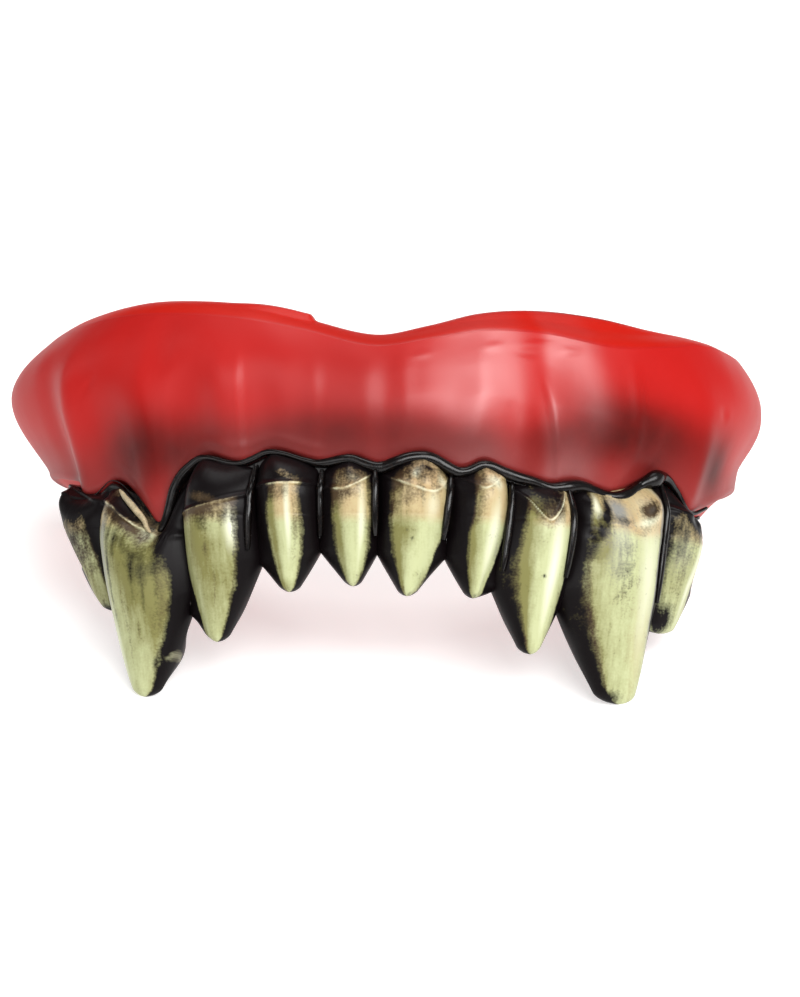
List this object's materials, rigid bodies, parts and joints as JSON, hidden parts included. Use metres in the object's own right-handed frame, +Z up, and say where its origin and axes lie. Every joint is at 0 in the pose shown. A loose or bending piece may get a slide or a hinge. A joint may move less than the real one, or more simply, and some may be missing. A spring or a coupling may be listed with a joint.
{
  "type": "monster costume teeth",
  "caption": "Upper set of soft vinyl monster teeth: a red horseshoe gum tray, open above, with a black bed and stained pointed teeth along its front.",
  "frame": {"origin": "on the surface it stands on, under the middle of the whole set's box", "axes": "+X to the right as seen from the front, +Y to the back, towards the open heels, +Z up"},
  "size_m": [0.0688, 0.0402, 0.0289],
  "materials": {
    "gum_vinyl": "glossy moulded soft vinyl, red with a dark airbrushed haze above the teeth",
    "black_vinyl": "glossy black paint over soft vinyl",
    "stained_vinyl": "pale yellow-green vinyl with brown and black stains under a gloss coat"
  },
  "bodies": {
    "root": {"gum_tray": "gum_vinyl", "tooth_bed": "black_vinyl", "back_tooth_left": "stained_vinyl", "fang_left": "stained_vinyl", "side_tooth_left": "stained_vinyl", "front_tooth_left_2": "stained_vinyl", "front_tooth_left_1": "stained_vinyl", "front_tooth_right_1": "stained_vinyl", "front_tooth_right_2": "stained_vinyl", "side_tooth_right": "stained_vinyl", "fang_right": "stained_vinyl", "back_tooth_right": "stained_vinyl"}
  },
  "joints": []
}
